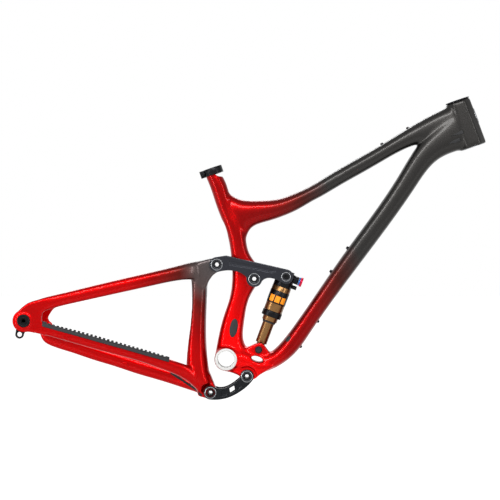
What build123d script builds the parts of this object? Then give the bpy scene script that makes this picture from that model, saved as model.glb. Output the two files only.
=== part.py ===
from build123d import *
import os
from math import atan2, copysign, cos, degrees, pi, radians, sin

# Full-suspension mountain bike frame with its rear shock, in millimetres.
# Origin: centre of the bottom bracket. X forward, Y to the rider's left, Z up.
# The drive side is -Y. A side-view point is (x, z).

# ---- Pivots of the four-bar linkage, side view ----
ROCKER_PIVOT = (60.0, 170.7)
ROCKER_REAR_PIVOT = (-19.4, 201.2)
SHOCK_TOP_PIVOT = (127.3, 175.4)
SHOCK_LOWER_PIVOT = (69.2, 20.3)
LOWER_LINK_PIVOT = (44.5, -35.9)
LOWER_REAR_PIVOT = (-32.8, -70.4)
REAR_AXLE = (-424.0, 83.0)

# Points of the curve round a tube section
SECTION_POINTS = 16

# ---- Bottom bracket ----
BB_WIDTH = 73.0
BB_SHELL_R = 25.0
BB_SLEEVE_R = 23.4
BB_THREAD_R = 17.4

# ---- Head tube ----
HEAD_ANGLE = 71.0
HEAD_BOTTOM = (526.9, 451.4)
HEAD_LENGTH = 103.0
HEAD_TOP_R = 26.0
HEAD_BOTTOM_R = 29.0
HEADSET_UPPER_R = 22.0
HEADSET_LOWER_R = 25.5
HEADSET_DEPTH = 12.0
STEERER_ROOM_R = 19.0
HEAD_NOSE = 9.0
HEAD_FACET = 14.0
HEAD_EDGE_R = 2.5

# ---- Seat tube ----
SEAT_ANGLE = 71.0
SEAT_CLAMP_CENTER = (-27.7, 400.0)
SEATPOST_R = 15.8
SEAT_TUBE_R = 17.4
SEATPOST_DEPTH = 190.0
SEAT_TUBE_WIDTH = 38.0
SEAT_TOP = 8.5
CLAMP_HEIGHT = 15.0
CLAMP_WALL = 3.6

# ---- Links ----
LINK_INNER = 27.3
LINK_PLATE = 9.0
RECESS_DEPTH = 1.6
RECESS_EDGE_R = 1.2
POCKET_DEPTH = 2.5
ROCKER_EYE_R = 17.0
ROCKER_REAR_EYE_R = 16.0
ROCKER_FRONT_EYE_R = 15.5
LOWER_EYE_R = 14.5
LINK_POCKET_R = 19.6

# ---- Pivot hardware ----
AXLE_R = 7.5
AXLE_HEX_R = 4.9
BEARING_R = 12.0
BEARING_WIDTH = 7.0
TRUNNION_R = 6.0
TRUNNION_BEARING_R = 9.6
SIDE_GAP = 0.4
RUNNING_FIT = 0.05
SEAT_FIT = 0.02
OPEN_PIVOT_GAP = 1.7

# ---- Shock, heights measured from the lower eye along its axis ----
SHOCK_CAN_R = 20.3
SHOCK_SHAFT_R = 12.45
SHOCK_EYE_R = 11.5
SHOCK_EYE_WIDTH = 25.0
SHOCK_BOLT_R = 4.0
SHAFT_START = 15.0
WIPER_START = 60.5
COLLAR_START = 64.5
RING_START = 74.0
CAN_START = 87.0
BAND_START = 104.0
BAND_END = 132.0
HEAD_START = 142.0
HEAD_CAP = 13.0
PISTON_LENGTH = 12.0

# ---- Rear triangle ----
HUB_WIDTH = 148.0
DROPOUT_THICK = 10.0
RING_RISE = 2.0
THRU_AXLE_R = 6.0
TYRE_R = 363.0
TYRE_SECTION_R = 30.0
ARM_INNER = 19.8
SEAT_TUBE_SLOT = 10.0
HANGER_OFFSET = (-8.9, -28.1)
HANGER_HOLE_R = 5.0
HANGER_R = 9.0
HANGER_DISC_R = 15.0
HANGER_THICK = 6.0
HANGER_NUT_R = 13.2
RIB_COUNT = 29
RIB_PITCH = 9.1
RIB_GAP = 4.4
RIB_HEIGHT = 2.5

LINK_OUTER = LINK_INNER + LINK_PLATE
BOSS_HALF = LINK_INNER - SIDE_GAP


# ---- Helpers ----
def shifted(point, dx, dz):
    """A side-view point moved by dx and dz."""
    return (point[0] + dx, point[1] + dz)


def around(center, radius, angle):
    """A side-view point at an angle in degrees round a centre."""
    turn = radians(angle)
    return (center[0] + radius * cos(turn), center[1] + radius * sin(turn))


def tube_section(upper, lower, width, y=0.0, fullness=2.7):
    """A section of a moulded tube, between two points of its side outline.

    It is a superellipse: fullness 2 is an ellipse, and more is squarer."""
    depth = Vector(upper[0] - lower[0], 0, upper[1] - lower[1])
    middle = ((upper[0] + lower[0]) / 2, y, (upper[1] + lower[1]) / 2)
    plane = Plane(origin=middle, x_dir=(0, 1, 0), z_dir=depth.cross(Vector(0, 1, 0)))
    rim = []
    for step in range(SECTION_POINTS):
        turn = 2 * pi * step / SECTION_POINTS
        across = copysign(abs(cos(turn)) ** (2 / fullness), cos(turn))
        along = copysign(abs(sin(turn)) ** (2 / fullness), sin(turn))
        rim.append((across * width / 2, along * depth.length / 2))
    with BuildSketch(plane) as section:
        with BuildLine():
            Spline(*rim, periodic=True)
        make_face()
    return section.sketch


def tilted_plane(point, angle, along=0.0, y=0.0):
    """A plane whose normal leaves a side-view point at an angle above +X."""
    turn = radians(angle)
    normal = Vector(cos(turn), 0, sin(turn))
    origin = Vector(point[0], y, point[1]) + normal * along
    return Plane(origin=origin, x_dir=(0, 1, 0), z_dir=normal)


def mirrored(solid):
    """The same piece on the other side of the bike."""
    return mirror(solid, about=Plane.XZ)


def finish(part, label):
    """Names a finished piece and writes it."""
    part.label = label
    export_step(part, f"parts/{label}.step")


os.makedirs("parts", exist_ok=True)

HEAD_TILT = 180 - HEAD_ANGLE
SEAT_TILT = 180 - SEAT_ANGLE


def seat_edge(drop, side):
    """A point on the seat tube's outline, a distance below the clamp."""
    center = around(SEAT_CLAMP_CENTER, -drop, SEAT_TILT)
    return around(center, SEAT_TUBE_R, SEAT_TILT + side)


shock_run = Vector(
    SHOCK_TOP_PIVOT[0] - SHOCK_LOWER_PIVOT[0],
    SHOCK_TOP_PIVOT[1] - SHOCK_LOWER_PIVOT[1],
)
SHOCK_LENGTH = shock_run.length
SHOCK_TILT = degrees(atan2(shock_run.Y, shock_run.X))


# ---- Front triangle: one carbon moulding ----
seat_tube_sections = [
    tube_section(seat_edge(drop, 90), seat_edge(drop, -90), 2 * SEAT_TUBE_R, fullness=2.0)
    for drop in (-SEAT_TOP, 25, 56, 86)
] + [
    tube_section((-5.5, 287.0), (30.5, 297.0), 37.0, fullness=2.2),
    tube_section((6.0, 250.0), (42.5, 256.0), SEAT_TUBE_WIDTH, fullness=2.4),
    tube_section((11.5, 212.0), (56.0, 214.0), SEAT_TUBE_WIDTH),
    tube_section((13.0, 172.0), shifted(ROCKER_PIVOT, 12.5, 1.0), SEAT_TUBE_WIDTH + 2),
    tube_section((8.5, 134.0), (54.0, 139.0), SEAT_TUBE_WIDTH + 4),
    tube_section((-4.0, 95.0), (40.5, 92.0), SEAT_TUBE_WIDTH + 6),
    tube_section((-14.9, 54.0), (36.0, 50.0), SEAT_TUBE_WIDTH + 12),
    tube_section((-22.5, 14.0), (50.0, 15.0), BB_WIDTH - 14),
    tube_section((-20.0, -13.0), (50.0, -17.0), BB_WIDTH - 10),
]

top_tube_sections = [
    tube_section((498.0, 546.0), (519.0, 486.0), 44.0, fullness=3.4),
    tube_section((456.0, 529.0), (474.0, 472.0), 42.0, fullness=3.4),
    tube_section((413.0, 506.5), (431.0, 463.0), 40.0, fullness=3.0),
    tube_section((362.0, 476.0), (380.0, 446.5), 38.0),
    tube_section((311.0, 445.0), (327.0, 417.5), 37.0),
    tube_section((260.0, 416.0), (276.0, 388.5), 37.0),
    tube_section((208.7, 385.5), (224.0, 358.5), 36.0),
    tube_section((183.2, 370.2), (196.0, 342.5), 36.0),
    tube_section((157.6, 357.6), (171.0, 328.5), 36.0),
    tube_section((132.0, 347.0), (141.5, 312.5), 35.5),
    tube_section((106.5, 339.8), (113.0, 301.0), 35.0),
    tube_section((64.0, 337.2), (74.0, 289.0), 34.0),
    tube_section((31.0, 339.8), (51.0, 275.0), 32.0, fullness=2.4),
    tube_section((11.0, 350.0), (43.5, 258.0), 30.0, fullness=2.2),
    tube_section((-8.0, 368.0), (38.0, 244.0), 27.0, fullness=2.2),
]

down_tube_sections = [
    tube_section((492.0, 541.0), (531.0, 462.0), 46.0, fullness=3.4),
    tube_section((458.0, 508.0), (503.0, 446.5), 50.0, fullness=3.2),
    tube_section((413.0, 461.0), (453.0, 425.5), 52.0, fullness=3.0),
    tube_section((368.5, 391.5), (403.8, 366.4), 51.0, fullness=2.9),
    tube_section((249.2, 221.1), (281.8, 197.9), 49.0, fullness=2.8),
    tube_section((148.0, 75.0), (177.3, 52.5), 50.0),
    tube_section((113.0, 30.5), (143.0, 8.0), 54.0),
    tube_section((88.0, 12.0), (108.0, -17.5), 60.0),
    tube_section((56.0, 14.0), (66.0, -31.0), 66.0),
    tube_section((14.0, 20.0), (20.0, -20.0), 68.0),
]


def head_section(along, radius):
    """A section of the head tube: flat sides, two facets and a narrow nose."""
    half = radius - 0.8
    with BuildSketch(tilted_plane(HEAD_BOTTOM, HEAD_TILT, along)) as section:
        Polygon(
            (-HEAD_NOSE, -radius),
            (HEAD_NOSE, -radius),
            (half, HEAD_FACET - radius),
            (half, radius - HEAD_FACET),
            (HEAD_NOSE, radius),
            (-HEAD_NOSE, radius),
            (-half, radius - HEAD_FACET),
            (-half, HEAD_FACET - radius),
            align=None,
        )
        fillet(section.vertices(), HEAD_EDGE_R)
    return section.sketch


with BuildPart() as front_triangle:
    loft(seat_tube_sections)
    loft(top_tube_sections)
    loft(down_tube_sections)
    # Head tube, slightly larger at the lower bearing
    loft([head_section(0, HEAD_BOTTOM_R), head_section(HEAD_LENGTH, HEAD_TOP_R)], ruled=True)
    # Bottom bracket shell and the bosses that carry the two link axles
    with BuildSketch(Plane.XZ):
        Circle(BB_SHELL_R)
    extrude(amount=BB_WIDTH / 2, both=True)
    with BuildSketch(Plane.XZ):
        with Locations(ROCKER_PIVOT):
            Circle(BEARING_R + 2)
        with Locations(LOWER_LINK_PIVOT):
            Circle(LOWER_EYE_R)
        Polygon(
            shifted(LOWER_LINK_PIVOT, -14.4, 0),
            (14.0, -29.0),
            (-5.0, -24.5),
            (0.0, -10.0),
            (70.0, -18.0),
            shifted(LOWER_LINK_PIVOT, 14.4, 0),
            align=None,
        )
    extrude(amount=BOSS_HALF, both=True)
    # Wall that wraps the front of the lower link's eye
    with BuildSketch(Plane.XZ):
        Polygon(
            (103.0, -15.0),
            (82.0, -27.0),
            shifted(LOWER_LINK_PIVOT, 23.7, 0.5),
            shifted(LOWER_LINK_PIVOT, 17.0, -8.0),
            shifted(LOWER_LINK_PIVOT, 8.0, 4.0),
            shifted(LOWER_LINK_PIVOT, 8.0, 30.0),
            align=None,
        )
    extrude(amount=LINK_OUTER - 3, both=True)
    # Shock mount: two cheeks rising from the junction
    with BuildSketch(Plane.XZ) as mount_outline:
        Polygon(
            shifted(SHOCK_LOWER_PIVOT, -28, 3),
            shifted(SHOCK_LOWER_PIVOT, 2, 16),
            shifted(SHOCK_LOWER_PIVOT, 9, 13.5),
            shifted(SHOCK_LOWER_PIVOT, 27, -10),
            shifted(SHOCK_LOWER_PIVOT, 20, -22),
            shifted(SHOCK_LOWER_PIVOT, -28, -22),
            align=None,
        )
        fillet(mount_outline.vertices().sort_by(Axis.Y)[-1], 4)
    extrude(amount=24, both=True)
    # Room for the lower shock eye
    with BuildSketch(Plane.XZ):
        with Locations(SHOCK_LOWER_PIVOT):
            Circle(SHOCK_EYE_R + 3.5)
            with Locations((3, 14)):
                Rectangle(2 * SHOCK_EYE_R + 12, 28)
    extrude(amount=SHOCK_EYE_WIDTH / 2 + 0.6, both=True, mode=Mode.SUBTRACT)
    # Drain slot below the shock mount
    with BuildSketch(Plane.XZ):
        with Locations(Location((66.0, 0.5), -17)):
            Ellipse(14, 5.6)
    extrude(amount=BB_WIDTH, both=True, mode=Mode.SUBTRACT)
    # Side pockets for the eyes of the lower link
    for side in (-1, 1):
        with BuildSketch(Plane.XZ.offset(side * BOSS_HALF)):
            with Locations(LOWER_LINK_PIVOT):
                Circle(LINK_POCKET_R)
            Polygon((-60, -120), (-60, -31), (30, -31), (60, -120), align=None)
        extrude(amount=side * 20, mode=Mode.SUBTRACT)
    # Bores: seatpost, headset, steerer, bottom bracket and axles
    with BuildSketch(tilted_plane(SEAT_CLAMP_CENTER, SEAT_TILT, SEAT_TOP)):
        Circle(SEATPOST_R)
    extrude(amount=-SEATPOST_DEPTH, mode=Mode.SUBTRACT)
    with BuildSketch(tilted_plane(HEAD_BOTTOM, HEAD_TILT)):
        Circle(HEADSET_LOWER_R)
    extrude(amount=HEADSET_DEPTH, mode=Mode.SUBTRACT)
    with BuildSketch(tilted_plane(HEAD_BOTTOM, HEAD_TILT, HEAD_LENGTH)):
        Circle(HEADSET_UPPER_R)
    extrude(amount=-HEADSET_DEPTH, mode=Mode.SUBTRACT)
    with BuildSketch(tilted_plane(HEAD_BOTTOM, HEAD_TILT)):
        Circle(STEERER_ROOM_R)
    extrude(amount=HEAD_LENGTH, mode=Mode.SUBTRACT)
    with BuildSketch(Plane.XZ):
        Circle(BB_SLEEVE_R + SEAT_FIT)
    extrude(amount=BB_WIDTH / 2, both=True, mode=Mode.SUBTRACT)
    with BuildSketch(Plane.XZ):
        with Locations(ROCKER_PIVOT, LOWER_LINK_PIVOT):
            Circle(AXLE_R + SEAT_FIT)
        with Locations(SHOCK_LOWER_PIVOT):
            Circle(SHOCK_BOLT_R + SEAT_FIT)
    extrude(amount=BB_WIDTH, both=True, mode=Mode.SUBTRACT)
finish(front_triangle.part, "front_triangle")


# ---- Hardware shared by the pivots ----
def hollow_axle(center, radius, reach):
    """A pivot axle across the frame, open through its hexagon."""
    with BuildPart() as axle:
        with BuildSketch(Plane.XZ):
            with Locations(center):
                Circle(radius)
                RegularPolygon(AXLE_HEX_R, 6, mode=Mode.SUBTRACT)
        extrude(amount=reach, both=True)
        chamfer(axle.edges().filter_by(GeomType.CIRCLE), 0.8)
    return axle.part


def bearing_pair(center, outer, inner):
    """One bearing in each link plate, flush with the plate's outer face."""
    with BuildPart() as pair:
        with BuildSketch(Plane.XZ.offset(LINK_OUTER - BEARING_WIDTH)):
            with Locations(center):
                Circle(outer)
                Circle(inner, mode=Mode.SUBTRACT)
        extrude(amount=BEARING_WIDTH)
        mirror(about=Plane.XZ)
    return pair.part


# ---- Pieces fixed to the front triangle ----
with BuildPart() as bottom_bracket_sleeve:
    with BuildSketch(Plane.XZ):
        Circle(BB_SLEEVE_R)
        Circle(BB_THREAD_R, mode=Mode.SUBTRACT)
    extrude(amount=BB_WIDTH / 2, both=True)
    chamfer(bottom_bracket_sleeve.edges().filter_by(GeomType.CIRCLE), 0.6)
finish(bottom_bracket_sleeve.part, "bottom_bracket_sleeve")

with BuildPart() as rocker_axle:
    add(hollow_axle(ROCKER_PIVOT, AXLE_R, LINK_OUTER + 0.6))
finish(rocker_axle.part, "rocker_axle")

with BuildPart() as lower_link_axle:
    add(hollow_axle(LOWER_LINK_PIVOT, AXLE_R, LINK_OUTER + 0.6))
finish(lower_link_axle.part, "lower_link_axle")

with BuildPart() as headset_seats:
    with BuildSketch(tilted_plane(HEAD_BOTTOM, HEAD_TILT)):
        Circle(HEADSET_LOWER_R - SEAT_FIT)
        Circle(HEADSET_LOWER_R - 2.5, mode=Mode.SUBTRACT)
    extrude(amount=HEADSET_DEPTH - SEAT_FIT)
    with BuildSketch(tilted_plane(HEAD_BOTTOM, HEAD_TILT, HEAD_LENGTH)):
        Circle(HEADSET_UPPER_R - SEAT_FIT)
        Circle(HEADSET_UPPER_R - 2.2, mode=Mode.SUBTRACT)
    extrude(amount=SEAT_FIT - HEADSET_DEPTH)
finish(headset_seats.part, "headset_seats")

with BuildPart() as head_cover:
    with BuildSketch(tilted_plane(HEAD_BOTTOM, HEAD_TILT, HEAD_LENGTH + SEAT_FIT)):
        Circle(HEAD_TOP_R)
        Circle(HEADSET_UPPER_R - 1, mode=Mode.SUBTRACT)
    extrude(amount=2.6)
finish(head_cover.part, "head_cover")

with BuildPart() as seat_clamp_collar:
    with BuildSketch(tilted_plane(SEAT_CLAMP_CENTER, SEAT_TILT, -CLAMP_HEIGHT / 2)):
        Circle(SEAT_TUBE_R + CLAMP_WALL)
        with Locations((0, SEAT_TUBE_R + CLAMP_WALL + 1)):
            Rectangle(17, 13)
        Circle(SEAT_TUBE_R - 1, mode=Mode.SUBTRACT)
        with Locations((0, SEAT_TUBE_R + CLAMP_WALL)):
            Rectangle(2, 20, mode=Mode.SUBTRACT)
    extrude(amount=CLAMP_HEIGHT)
    add(front_triangle.part, mode=Mode.SUBTRACT)
    with BuildSketch(Plane.XZ):
        with Locations(around(SEAT_CLAMP_CENTER, SEAT_TUBE_R + CLAMP_WALL + 2.5, SEAT_TILT + 90)):
            Circle(2.6)
    extrude(amount=20, both=True, mode=Mode.SUBTRACT)
finish(seat_clamp_collar.part, "seat_clamp_collar")

with BuildPart() as seat_clamp_bolt:
    clamp_bolt_place = around(SEAT_CLAMP_CENTER, SEAT_TUBE_R + CLAMP_WALL + 2.5, SEAT_TILT + 90)
    with BuildSketch(Plane.XZ):
        with Locations(clamp_bolt_place):
            Circle(2.5)
    extrude(amount=8.5, both=True)
    with BuildSketch(Plane.XZ.offset(8.5)):
        with Locations(clamp_bolt_place):
            Circle(4.2)
    extrude(amount=4)
    with BuildSketch(Plane.XZ.offset(12.5)):
        with Locations(clamp_bolt_place):
            RegularPolygon(2.3, 6)
    extrude(amount=-3, mode=Mode.SUBTRACT)
finish(seat_clamp_bolt.part, "seat_clamp_bolt")

with BuildPart() as shock_mount_bolt:
    with BuildSketch(Plane.XZ):
        with Locations(SHOCK_LOWER_PIVOT):
            Circle(SHOCK_BOLT_R)
    extrude(amount=24, both=True)
    with BuildSketch(Plane.XZ.offset(24 + SEAT_FIT)):
        with Locations(SHOCK_LOWER_PIVOT):
            Circle(7.5)
    extrude(amount=4)
    with BuildSketch(Plane.XZ.offset(28 + SEAT_FIT)):
        with Locations(SHOCK_LOWER_PIVOT):
            RegularPolygon(3.0, 6)
    extrude(amount=-3, mode=Mode.SUBTRACT)
finish(shock_mount_bolt.part, "shock_mount_bolt")

# ---- Upper link: two plates and a bridge, with its bearings ----
with BuildPart() as upper_link:
    with BuildSketch(Plane.XZ.offset(LINK_INNER)):
        with BuildLine():
            Line(around(ROCKER_REAR_PIVOT, ROCKER_REAR_EYE_R, 100), (0.0, 220.4))
            Line((0.0, 220.4), around(SHOCK_TOP_PIVOT, ROCKER_FRONT_EYE_R, 77))
            ThreePointArc(
                around(SHOCK_TOP_PIVOT, ROCKER_FRONT_EYE_R, 77),
                around(SHOCK_TOP_PIVOT, ROCKER_FRONT_EYE_R, -10),
                around(SHOCK_TOP_PIVOT, ROCKER_FRONT_EYE_R, -100),
            )
            Spline(
                around(SHOCK_TOP_PIVOT, ROCKER_FRONT_EYE_R, -100),
                (103.0, 170.5),
                (86.0, 172.0),
                around(ROCKER_PIVOT, ROCKER_EYE_R, -18),
            )
            ThreePointArc(
                around(ROCKER_PIVOT, ROCKER_EYE_R, -18),
                around(ROCKER_PIVOT, ROCKER_EYE_R, -105),
                around(ROCKER_PIVOT, ROCKER_EYE_R, -192),
            )
            Spline(
                around(ROCKER_PIVOT, ROCKER_EYE_R, -192),
                (29.8, 184.0),
                (12.0, 188.5),
                around(ROCKER_REAR_PIVOT, ROCKER_REAR_EYE_R, -82),
            )
            ThreePointArc(
                around(ROCKER_REAR_PIVOT, ROCKER_REAR_EYE_R, -82),
                around(ROCKER_REAR_PIVOT, ROCKER_REAR_EYE_R, 189),
                around(ROCKER_REAR_PIVOT, ROCKER_REAR_EYE_R, 100),
            )
        make_face()
        with Locations(ROCKER_PIVOT, ROCKER_REAR_PIVOT):
            Circle(BEARING_R + SEAT_FIT, mode=Mode.SUBTRACT)
        with Locations(SHOCK_TOP_PIVOT):
            Circle(TRUNNION_BEARING_R + SEAT_FIT, mode=Mode.SUBTRACT)
    extrude(amount=LINK_PLATE)
    mirror(about=Plane.XZ)
    with BuildSketch(Plane.XZ):
        with Locations(Location((90.0, 184.0), -13)):
            RectangleRounded(22, 16, 5)
    extrude(amount=LINK_INNER, both=True)
    # Long tapering recess below the upper edge of each plate
    for side in (-1, 1):
        with BuildSketch(Plane.XZ.offset(side * LINK_OUTER)) as recess:
            Polygon(
                (5.0, 210.0),
                (76.5, 195.5),
                (107.0, 188.0),
                (96.0, 184.0),
                (51.0, 193.5),
                (9.0, 200.5),
                align=None,
            )
            fillet(recess.vertices(), RECESS_EDGE_R)
        extrude(amount=-side * RECESS_DEPTH, mode=Mode.SUBTRACT)
finish(upper_link.part, "upper_link")

with BuildPart() as upper_link_bearings:
    add(bearing_pair(ROCKER_PIVOT, BEARING_R, AXLE_R + RUNNING_FIT))
    add(bearing_pair(ROCKER_REAR_PIVOT, BEARING_R, AXLE_R + RUNNING_FIT))
    add(bearing_pair(SHOCK_TOP_PIVOT, TRUNNION_BEARING_R, TRUNNION_R + RUNNING_FIT))
finish(upper_link_bearings.part, "upper_link_bearings")

# ---- Lower link: a curved pair of plates with windows and a web ----
with BuildPart() as lower_link:
    with BuildSketch(Plane.XZ.offset(LINK_INNER)):
        with BuildLine():
            Spline(
                around(LOWER_REAR_PIVOT, LOWER_EYE_R, 58),
                (-8.9, -61.3),
                (4.9, -57.2),
                (18.5, -48.6),
                around(LOWER_LINK_PIVOT, LOWER_EYE_R, 192),
            )
            ThreePointArc(
                around(LOWER_LINK_PIVOT, LOWER_EYE_R, 192),
                around(LOWER_LINK_PIVOT, LOWER_EYE_R, 70),
                around(LOWER_LINK_PIVOT, LOWER_EYE_R, -40),
            )
            Spline(
                around(LOWER_LINK_PIVOT, LOWER_EYE_R, -40),
                (42.4, -59.0),
                (26.2, -70.5),
                (9.8, -79.0),
                (-8.0, -84.0),
                around(LOWER_REAR_PIVOT, LOWER_EYE_R, -95),
            )
            ThreePointArc(
                around(LOWER_REAR_PIVOT, LOWER_EYE_R, -95),
                around(LOWER_REAR_PIVOT, LOWER_EYE_R, 160),
                around(LOWER_REAR_PIVOT, LOWER_EYE_R, 58),
            )
        make_face()
        with Locations(LOWER_LINK_PIVOT, LOWER_REAR_PIVOT):
            Circle(BEARING_R + SEAT_FIT, mode=Mode.SUBTRACT)
    extrude(amount=LINK_PLATE)
    mirror(about=Plane.XZ)
    with BuildSketch(Plane.XZ):
        with BuildLine():
            Polyline((-3, -68), (2, -62.5), (5, -62), (5, -75.5), (-3, -79), (-3, -68))
        make_face()
        with BuildLine():
            Polyline((19.5, -54), (25, -50.5), (31, -58), (22, -68.5), (19.5, -69.5), (19.5, -54))
        make_face()
    extrude(amount=LINK_INNER, both=True)
    with BuildSketch(Plane.XZ):
        with BuildLine():
            Polyline((6.4, -61.5), (17.5, -55), (19, -66.5), (8.5, -73.5), (6.4, -61.5))
        make_face()
    extrude(amount=LINK_OUTER, both=True, mode=Mode.SUBTRACT)
    # Blind pockets on both sides of the window
    for side in (-1, 1):
        with BuildSketch(Plane.XZ.offset(side * LINK_OUTER)):
            Polygon((-8.5, -65.5), (2.5, -64.0), (4.0, -75.0), (-11.0, -78.0), align=None)
            Polygon((21.5, -53.5), (29.0, -50.0), (35.5, -54.5), (25.0, -65.5), align=None)
        extrude(amount=-side * POCKET_DEPTH, mode=Mode.SUBTRACT)
finish(lower_link.part, "lower_link")

with BuildPart() as lower_link_bearings:
    add(bearing_pair(LOWER_LINK_PIVOT, BEARING_R, AXLE_R + RUNNING_FIT))
    add(bearing_pair(LOWER_REAR_PIVOT, BEARING_R, AXLE_R + OPEN_PIVOT_GAP))
finish(lower_link_bearings.part, "lower_link_bearings")


# ---- Rear triangle: stays, upright and dropouts in one moulding ----
def stay(stations, side):
    """A stay lofted through (top, bottom, y, thickness) on one side of the wheel."""
    sections = [
        tube_section(top, bottom, thick, side * y, 2.6)
        for top, bottom, y, thick in stations
    ]
    return Solid.make_loft([section.faces()[0].outer_wire() for section in sections])


def hanger_outline(room):
    """The derailleur hanger's outline: a disc round the axle and a tab, grown by room."""
    eye = shifted(REAR_AXLE, *HANGER_OFFSET)
    with BuildSketch(Plane.XY) as outline:
        with Locations(REAR_AXLE):
            Circle(HANGER_DISC_R + room)
        with Locations(eye):
            Circle(HANGER_R + room)
        Polygon(
            around(REAR_AXLE, HANGER_DISC_R + room, 200),
            around(eye, HANGER_R + room, 180),
            around(eye, HANGER_R + room, 0),
            around(REAR_AXLE, HANGER_DISC_R + room, -60),
            align=None,
        )
    return outline.sketch


DROPOUT_MIDDLE = HUB_WIDTH / 2 + DROPOUT_THICK / 2

seatstay_stations = [
    ((-399.0, 126.0), (-395.0, 98.0), DROPOUT_MIDDLE, 9.5),
    ((-360.0, 138.0), (-355.0, 111.0), 76.0, 13.0),
    ((-315.0, 148.5), (-310.0, 122.0), 70.5, 16.0),
    ((-270.0, 159.5), (-265.0, 132.0), 64.0, 17.0),
    ((-223.0, 170.5), (-218.0, 142.5), 57.0, 18.0),
    ((-175.0, 181.5), (-170.0, 153.0), 50.0, 19.0),
    ((-129.5, 192.0), (-124.5, 163.0), 42.0, 20.0),
    ((-91.0, 202.0), (-87.0, 168.5), 31.0, 24.0),
    ((-57.5, 208.5), (-55.5, 168.0), 14.5, 24.0),
]

drive_chainstay_stations = [
    ((-399.0, 84.0), (-403.0, 58.0), DROPOUT_MIDDLE, 9.5),
    ((-362.0, 71.5), (-366.5, 49.5), 77.0, 13.0),
    ((-317.0, 60.0), (-322.0, 36.5), 72.5, 16.0),
    ((-271.5, 47.5), (-277.5, 23.5), 68.0, 18.0),
    ((-224.5, 33.5), (-230.5, 10.5), 62.5, 19.0),
    ((-177.5, 20.0), (-184.0, -2.5), 56.5, 20.0),
    ((-132.0, 6.0), (-140.0, -18.5), 50.0, 21.0),
    ((-93.0, -7.0), (-102.0, -34.0), 42.0, 22.0),
    ((-61.5, -22.5), (-65.5, -61.0), 28.0, 26.0),
    ((-41.5, -45.5), (-38.0, -81.0), 14.0, 24.0),
]

other_chainstay_stations = [
    ((-399.0, 76.0), (-404.0, 52.0), DROPOUT_MIDDLE, 9.5),
    ((-374.0, 59.5), (-380.5, 24.5), 77.0, 13.0),
    ((-327.0, 43.0), (-334.0, 9.5), 72.5, 16.0),
    ((-280.5, 27.0), (-288.5, -5.5), 68.0, 18.0),
    ((-231.5, 11.5), (-239.5, -20.0), 62.5, 19.0),
    ((-182.5, -3.5), (-191.5, -35.5), 56.5, 20.0),
    ((-136.0, -17.5), (-145.0, -48.5), 50.0, 21.0),
    ((-95.0, -28.0), (-105.5, -60.5), 42.0, 22.0),
    ((-62.5, -35.5), (-66.5, -72.5), 28.0, 26.0),
    ((-42.5, -49.0), (-38.0, -84.0), 14.0, 24.0),
]

upright_sections = [
    tube_section((-76.0, 196.0), (-40.0, 199.0), 50.0),
    tube_section((-76.7, 152.0), (-40.0, 152.0), 53.0),
    tube_section((-79.0, 108.0), (-41.5, 108.0), 60.0),
    tube_section((-83.0, 64.0), (-42.4, 64.0), 68.0),
    tube_section((-87.0, 20.0), (-41.0, 20.0), 76.0),
    tube_section((-86.0, -22.0), (-36.0, -24.0), 80.0),
    tube_section((-74.0, -58.0), (-27.0, -52.0), 76.0),
]

dropout_corners = [
    shifted(REAR_AXLE, -11.5, 21),
    shifted(REAR_AXLE, -2, 30.5),
    shifted(REAR_AXLE, 7.5, 37.5),
    shifted(REAR_AXLE, 20, 42.5),
    shifted(REAR_AXLE, 48, 49.5),
    shifted(REAR_AXLE, 47, 25),
    shifted(REAR_AXLE, 39, 15),
    shifted(REAR_AXLE, 37.5, 3),
    shifted(REAR_AXLE, 41, -5),
    shifted(REAR_AXLE, 48, -9),
    shifted(REAR_AXLE, 46, -31),
    shifted(REAR_AXLE, 28, -26),
    shifted(REAR_AXLE, 2, -21.5),
]

guard_rear_top = (-383.0, 82.0)
guard_front_top = (-120.0, 7.0)
middle_of_guard = (
    (guard_rear_top[0] + guard_front_top[0]) / 2,
    (guard_rear_top[1] + guard_front_top[1]) / 2,
)
guard_outline = [
    shifted(guard_rear_top, 0, 20),
    shifted(guard_rear_top, -2, -10),
    shifted(drive_chainstay_stations[2][0], 0, -7),
    shifted(drive_chainstay_stations[4][0], 0, -7),
    shifted(guard_front_top, 0, -11),
    shifted(guard_front_top, 3, 20),
]

drive_seatstay = stay(seatstay_stations, -1)
drive_chainstay = stay(drive_chainstay_stations, -1)
other_chainstay = stay(other_chainstay_stations, 1)

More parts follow.
